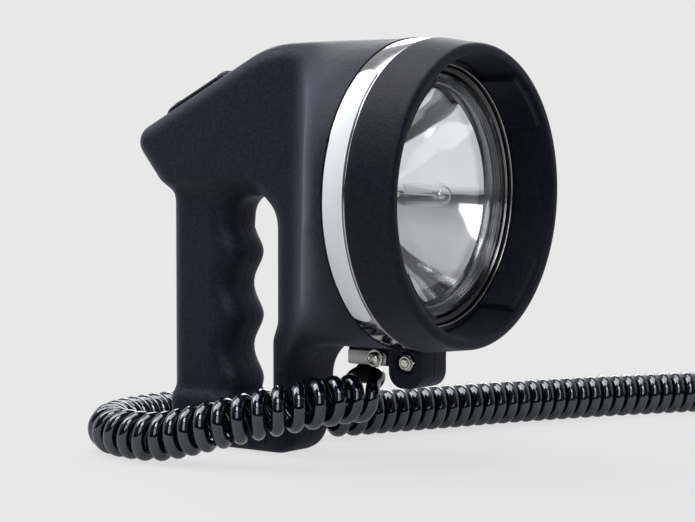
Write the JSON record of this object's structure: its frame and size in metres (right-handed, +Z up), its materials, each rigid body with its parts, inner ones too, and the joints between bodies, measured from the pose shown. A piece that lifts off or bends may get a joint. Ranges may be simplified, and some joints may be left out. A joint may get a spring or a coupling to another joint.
{
  "type": "handheld searchlight",
  "caption": "Hand-held searchlight: two-part pistol-grip housing with finger gap, hooded round lamp in a steel clamp band, rocker switch on the rear slope, and a curly cord with a 12 V plug.",
  "frame": {"origin": "the middle of the lamp body's length and width, on the plane its base stands on; the free cord and its plug aren't counted", "axes": "+X the way the lamp shines, +Y to the lamp's left as the holder sees it, +Z up"},
  "size_m": [0.2745, 0.356, 0.1895],
  "materials": {
    "housing_plastic": "fine moulded grain, satin",
    "bezel_rubber": "satin moulded rubber",
    "soft_rubber": "matte",
    "cord_jacket": "glossy black jacket",
    "stainless_steel": "polished strap, zinc-plated fasteners",
    "contact_metal": "bright",
    "reflector_coating": "vacuum-coated reflector",
    "lamp_glass": "clear pressed glass",
    "label_film": "satin white film, bare",
    "switch_phenolic": "moulded phenolic",
    "wire_insulation": "insulation"
  },
  "bodies": {
    "searchlight": {"housing_left": "housing_plastic", "housing_right": "housing_plastic", "front_bezel": "bezel_rubber", "clamp_band": "stainless_steel", "band_label": "label_film", "lug_bolt": "stainless_steel", "lug_nut": "stainless_steel", "strain_bracket": "stainless_steel", "strain_screw": "stainless_steel", "strain_washer": "stainless_steel", "cord_sleeve": "soft_rubber", "cord_gland": "soft_rubber", "lamp_gasket": "soft_rubber", "lamp_rim": "stainless_steel", "snap_ring": "stainless_steel", "lamp_lens": "lamp_glass", "lamp_reflector": "reflector_coating", "lamp_capsule": "lamp_glass", "capsule_pinch": "lamp_glass", "lamp_holder": "switch_phenolic", "filament": "stainless_steel", "lamp_terminal_1": "contact_metal", "lamp_terminal_2": "contact_metal", "housing_screw_1": "stainless_steel", "housing_screw_2": "stainless_steel", "housing_screw_3": "stainless_steel", "housing_screw_4": "stainless_steel", "switch_frame": "bezel_rubber", "rocker_pin": "stainless_steel", "switch_body": "switch_phenolic", "switch_terminal_1": "contact_metal", "switch_terminal_2": "contact_metal", "switch_terminal_3": "contact_metal", "supply_wire": "wire_insulation", "return_wire": "wire_insulation", "switched_wire": "wire_insulation", "curly_cord": "cord_jacket", "plug_body": "switch_phenolic", "plug_boot": "soft_rubber", "plug_fuse": "contact_metal"},
    "rocker": {"rocker": "soft_rubber"},
    "contact_blade": {"contact_blade": "contact_metal"},
    "plug_tip": {"plug_tip": "contact_metal"},
    "plug_side_contact_1": {"plug_side_contact_1": "stainless_steel"},
    "plug_side_contact_2": {"plug_side_contact_2": "stainless_steel"}
  },
  "joints": [
    {"name": "rocker_tilt", "type": "hinge", "parent": "searchlight", "child": "rocker", "pos_m": [-0.05932, 0, 0.16329], "axis": [0, 1, 0], "range_deg": [-7, 7], "stiffness_Nm_per_rad": 0.08},
    {"name": "blade_tilt", "type": "hinge", "parent": "searchlight", "child": "contact_blade", "pos_m": [-0.05659, 0, 0.1575], "axis": [0, 1, 0], "range_deg": [-7.5, 7.5]},
    {"name": "plug_tip_press", "type": "slide", "parent": "searchlight", "child": "plug_tip", "axis": [-0.0349, 0.9994, 0], "range_m": [0, 0.003], "stiffness_N_per_m": 400, "springref_m": -0.002},
    {"name": "plug_side_press_1", "type": "slide", "parent": "searchlight", "child": "plug_side_contact_1", "axis": [0.9994, 0.0349, 0], "range_m": [0, 0.0009], "stiffness_N_per_m": 600, "springref_m": -0.0005},
    {"name": "plug_side_press_2", "type": "slide", "parent": "searchlight", "child": "plug_side_contact_2", "axis": [-0.9994, -0.0349, 0], "range_m": [0, 0.0009], "stiffness_N_per_m": 600, "springref_m": -0.0005}
  ],
  "couplings": [
    {"joint": "blade_tilt", "follows": "rocker_tilt", "ratio": -1}
  ]
}
